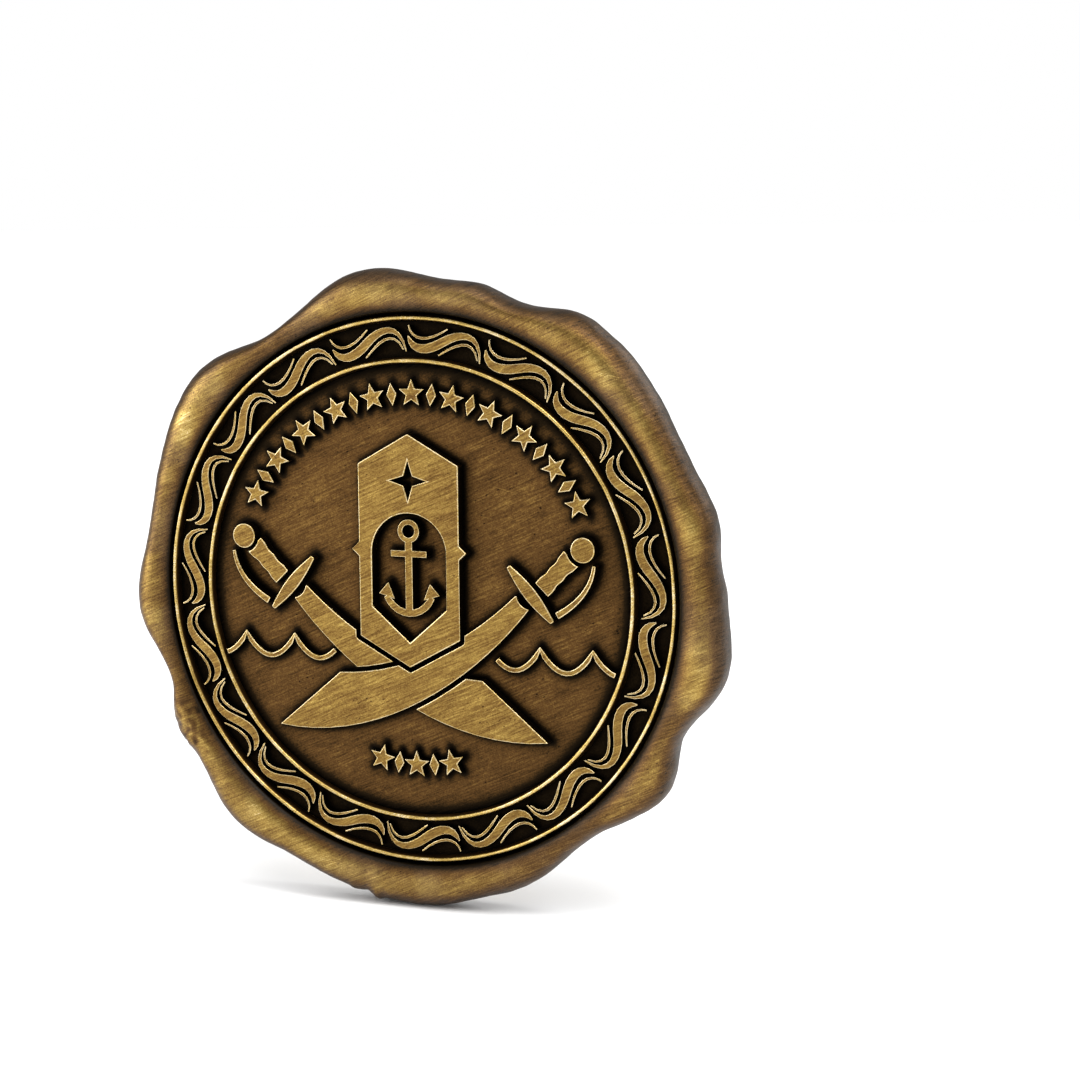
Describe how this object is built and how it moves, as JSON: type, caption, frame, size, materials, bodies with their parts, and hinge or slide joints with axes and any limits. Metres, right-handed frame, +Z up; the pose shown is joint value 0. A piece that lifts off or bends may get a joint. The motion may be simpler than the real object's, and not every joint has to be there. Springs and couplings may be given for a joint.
{
  "type": "challenge coin",
  "caption": "Challenge coin shaped like a wax seal, with a rolled lobed rim: crossed cutlasses and a plaque on one face, a compass rose on the other.",
  "frame": {"origin": "centre of the coin, on its middle plane", "axes": "+Y through the coin from obverse to reverse, so the obverse faces -Y; +Z up the design; +X to the right as the obverse is seen"},
  "size_m": [0.0494, 0.0046, 0.0496],
  "materials": {
    "rim_bronze": "antique bronze, hand-relieved on the crest, satin",
    "blackened_ground": "blackened recess, matte",
    "brushed_field": "brown patina brushed on a slant, dark towards its edges",
    "relief_brass": "relieved brass, brushed on a slant, bright edges",
    "bead_ring": "relieved brass bead, satin"
  },
  "bodies": {
    "root": {"core_disc": "blackened_ground", "rim_ring": "rim_bronze", "rim_edge": "rim_bronze", "obverse_field": "brushed_field", "obverse_outer_ring": "bead_ring", "obverse_inner_ring": "bead_ring", "obverse_scrolls": "relief_brass", "obverse_star_arc": "relief_brass", "obverse_lower_stars": "relief_brass", "plaque": "relief_brass", "plaque_anchor": "relief_brass", "left_cutlass_blade": "relief_brass", "right_cutlass_blade": "relief_brass", "left_guard": "relief_brass", "right_guard": "relief_brass", "left_grip": "relief_brass", "right_grip": "relief_brass", "left_pommel": "relief_brass", "right_pommel": "relief_brass", "left_knuckle_bow": "relief_brass", "right_knuckle_bow": "relief_brass", "left_waves": "relief_brass", "right_waves": "relief_brass", "reverse_field": "brushed_field", "reverse_outer_ring": "bead_ring", "reverse_inner_ring": "bead_ring", "reverse_scrolls": "relief_brass", "reverse_top_stars": "relief_brass", "reverse_bottom_stars": "relief_brass", "compass_band": "bead_ring", "compass_thin_ring": "bead_ring", "compass_scale_ring": "bead_ring", "compass_centre_ring": "bead_ring", "cardinal_needles": "relief_brass", "diagonal_needles": "relief_brass", "degree_stars": "relief_brass", "ball_pins": "relief_brass", "compass_hub": "relief_brass"}
  },
  "joints": []
}
